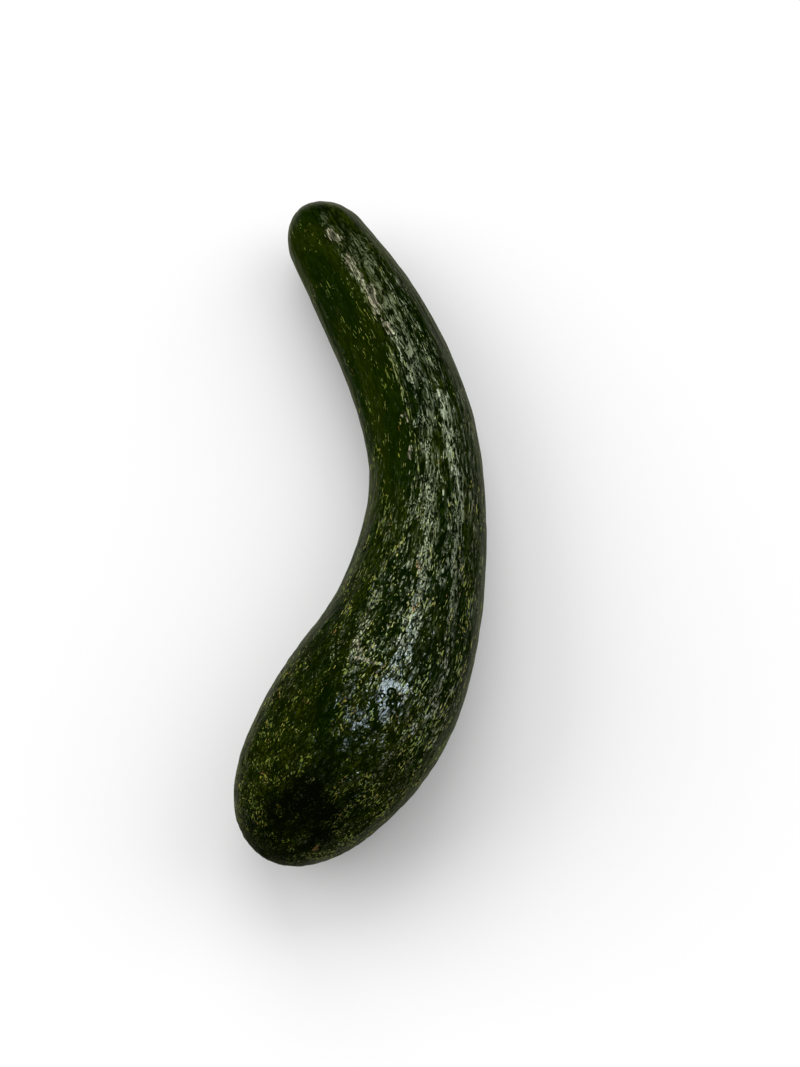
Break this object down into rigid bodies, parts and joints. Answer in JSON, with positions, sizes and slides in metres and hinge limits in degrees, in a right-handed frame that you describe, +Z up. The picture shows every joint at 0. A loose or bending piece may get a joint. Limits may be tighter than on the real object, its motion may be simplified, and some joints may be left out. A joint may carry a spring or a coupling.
{
  "type": "long-necked avocado",
  "caption": "Whole long-necked avocado: a tapering neck bows round into a full bulb; it lies on its side on a small flat spot.",
  "frame": {"origin": "middle of the fruit's footprint, on the surface it lies on", "axes": "+Z up from the surface; +Y from the blossom end of the bulb towards the stem end of the neck; +X towards the outside of the bend"},
  "size_m": [0.1088, 0.351, 0.0759],
  "materials": {
    "skin": "thin glossy skin, near-black green with small yellow-green flecks, finely wrinkled along the neck and pebbled on the bulb"
  },
  "bodies": {
    "root": {"avocado": "skin"}
  },
  "joints": []
}
